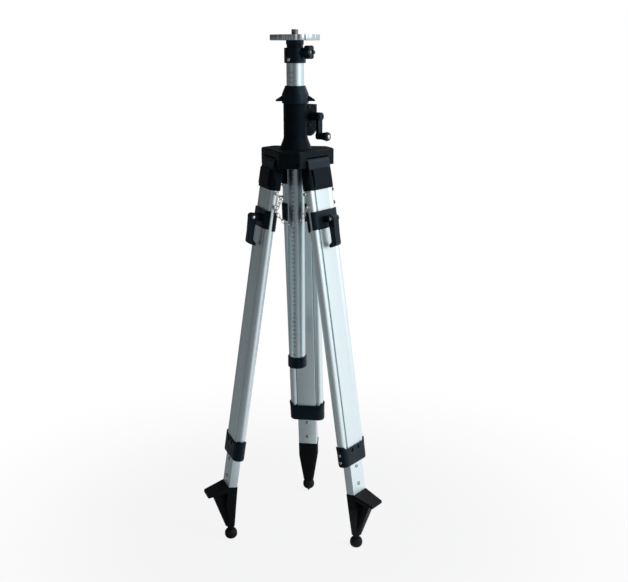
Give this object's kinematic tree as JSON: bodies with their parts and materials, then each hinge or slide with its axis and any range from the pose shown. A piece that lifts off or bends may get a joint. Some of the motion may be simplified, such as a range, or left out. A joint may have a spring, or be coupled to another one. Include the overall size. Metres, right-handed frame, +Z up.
{
  "type": "elevating tripod",
  "caption": "Elevating tripod with sliding aluminium legs, cam-lever clamps, a black crown, a crank-driven column with lock ring, and a round instrument plate with a threaded stud.",
  "frame": {"origin": "on the column axis at floor level, with the legs open and pushed in as in the picture", "axes": "+Z up along the column, +Y towards the back leg, +X towards the crank side"},
  "size_m": [0.4218, 0.3654, 1.1766],
  "materials": {
    "black_cast": "satin",
    "black_plastic": "matte",
    "leg_alloy": "satin anodised",
    "column_alloy": "satin anodised",
    "plate_alloy": "machined",
    "steel": "zinc plated",
    "bright_rivet": "bright",
    "stud_brass": "dull plated",
    "rubber": "matte"
  },
  "bodies": {
    "stand": {"crown": "black_cast", "hinge_pins": "steel", "elevator_housing": "black_plastic", "gear_cover": "black_plastic", "housing_screws": "steel", "lower_bush": "black_plastic", "collet": "black_plastic", "leg_chains": "steel"},
    "lock": {"lock_ring": "black_plastic"},
    "crank": {"drive_pinion": "steel", "crank_arm": "black_cast", "crank_fasteners": "steel"},
    "grip": {"crank_grip": "black_plastic"},
    "column": {"column_tube": "column_alloy", "rack": "steel", "end_cap": "black_plastic", "column_plug": "black_plastic", "head_collar": "black_cast", "collar_rivet": "bright_rivet"},
    "head": {"head_neck": "black_cast", "head_plate": "plate_alloy", "instrument_stud": "stud_brass"},
    "knob": {"star_knob": "black_plastic", "knob_screw": "steel"},
    "back_leg": {"back_leg_head": "black_plastic", "back_leg_rails": "leg_alloy", "back_guide_collar": "black_plastic", "back_leg_fasteners": "steel"},
    "back_slide": {"back_slide_bar": "leg_alloy", "back_clamp_outer": "black_plastic", "back_clamp_inner": "black_plastic", "back_slide_fasteners": "steel", "back_foot_shoe": "black_cast", "back_foot_spike": "steel"},
    "back_lever": {"back_clamp_lever": "black_plastic"},
    "back_tip": {"back_rubber_tip": "rubber"},
    "left_leg": {"left_leg_head": "black_plastic", "left_leg_rails": "leg_alloy", "left_guide_collar": "black_plastic", "left_leg_fasteners": "steel"},
    "left_slide": {"left_slide_bar": "leg_alloy", "left_clamp_outer": "black_plastic", "left_clamp_inner": "black_plastic", "left_slide_fasteners": "steel", "left_foot_shoe": "black_cast", "left_foot_spike": "steel"},
    "left_lever": {"left_clamp_lever": "black_plastic"},
    "left_tip": {"left_rubber_tip": "rubber"},
    "right_leg": {"right_leg_head": "black_plastic", "right_leg_rails": "leg_alloy", "right_guide_collar": "black_plastic", "right_leg_fasteners": "steel"},
    "right_slide": {"right_slide_bar": "leg_alloy", "right_clamp_outer": "black_plastic", "right_clamp_inner": "black_plastic", "right_slide_fasteners": "steel", "right_foot_shoe": "black_cast", "right_foot_spike": "steel"},
    "right_lever": {"right_clamp_lever": "black_plastic"},
    "right_tip": {"right_rubber_tip": "rubber"}
  },
  "joints": [
    {"name": "column_slide", "type": "slide", "parent": "stand", "child": "column", "axis": [0, 0, 1], "range_m": [-0.045, 0.43]},
    {"name": "crank_turn", "type": "hinge", "parent": "stand", "child": "crank", "pos_m": [0.01558, 0.02144, 0.993], "axis": [-0.809, 0.5878, 0], "continuous": true},
    {"name": "crank_grip_spin", "type": "hinge", "parent": "crank", "child": "grip", "pos_m": [0.06654, -0.01559, 0.951], "axis": [-0.809, 0.5878, 0], "continuous": true},
    {"name": "lock_ring_turn", "type": "hinge", "parent": "stand", "child": "lock", "pos_m": [0, 0, 1.03], "axis": [0, 0, 1], "range_deg": [0, 90]},
    {"name": "head_turn", "type": "hinge", "parent": "column", "child": "head", "pos_m": [0, 0, 1.15], "axis": [0, 0, 1], "continuous": true},
    {"name": "star_knob_turn", "type": "hinge", "parent": "column", "child": "knob", "pos_m": [0.03236, -0.01578, 1.1287], "axis": [0.8988, -0.4384, 0], "continuous": true},
    {"name": "back_leg_fold", "type": "hinge", "parent": "stand", "child": "back_leg", "pos_m": [0, 0.0545, 0.895], "axis": [1, 0, 0], "range_deg": [-8.9, 16], "deforming": ["leg_chains"]},
    {"name": "back_leg_slide", "type": "slide", "parent": "back_leg", "child": "back_slide", "axis": [0, 0.1552, -0.9879], "range_m": [0, 0.45]},
    {"name": "back_clamp_lever_turn", "type": "hinge", "parent": "back_slide", "child": "back_lever", "pos_m": [0, 0.10437, 0.77731], "axis": [1, 0, 0], "range_deg": [0, 110]},
    {"name": "back_tip_screw", "type": "slide", "parent": "back_slide", "child": "back_tip", "axis": [0, 0, 1], "range_m": [-0.009, 0]},
    {"name": "left_leg_fold", "type": "hinge", "parent": "stand", "child": "left_leg", "pos_m": [-0.0472, -0.02725, 0.895], "axis": [-0.5, 0.866, 0], "range_deg": [-8.9, 16], "deforming": ["leg_chains"]},
    {"name": "left_leg_slide", "type": "slide", "parent": "left_leg", "child": "left_slide", "axis": [-0.1344, -0.0776, -0.9879], "range_m": [0, 0.45]},
    {"name": "left_clamp_lever_turn", "type": "hinge", "parent": "left_slide", "child": "left_lever", "pos_m": [-0.09039, -0.05219, 0.77731], "axis": [-0.5, 0.866, 0], "range_deg": [0, 110]},
    {"name": "left_tip_screw", "type": "slide", "parent": "left_slide", "child": "left_tip", "axis": [0, 0, 1], "range_m": [0, 0.009]},
    {"name": "right_leg_fold", "type": "hinge", "parent": "stand", "child": "right_leg", "pos_m": [0.0472, -0.02725, 0.895], "axis": [-0.5, -0.866, 0], "range_deg": [-8.9, 16], "deforming": ["leg_chains"]},
    {"name": "right_leg_slide", "type": "slide", "parent": "right_leg", "child": "right_slide", "axis": [0.1344, -0.0776, -0.9879], "range_m": [0, 0.45]},
    {"name": "right_clamp_lever_turn", "type": "hinge", "parent": "right_slide", "child": "right_lever", "pos_m": [0.09039, -0.05219, 0.77731], "axis": [-0.5, -0.866, 0], "range_deg": [0, 110]},
    {"name": "right_tip_screw", "type": "slide", "parent": "right_slide", "child": "right_tip", "axis": [0, 0, 1], "range_m": [0, 0.009]}
  ],
  "couplings": [
    {"joint": "crank_turn", "follows": "column_slide", "rad_per_m": 111.11}
  ]
}
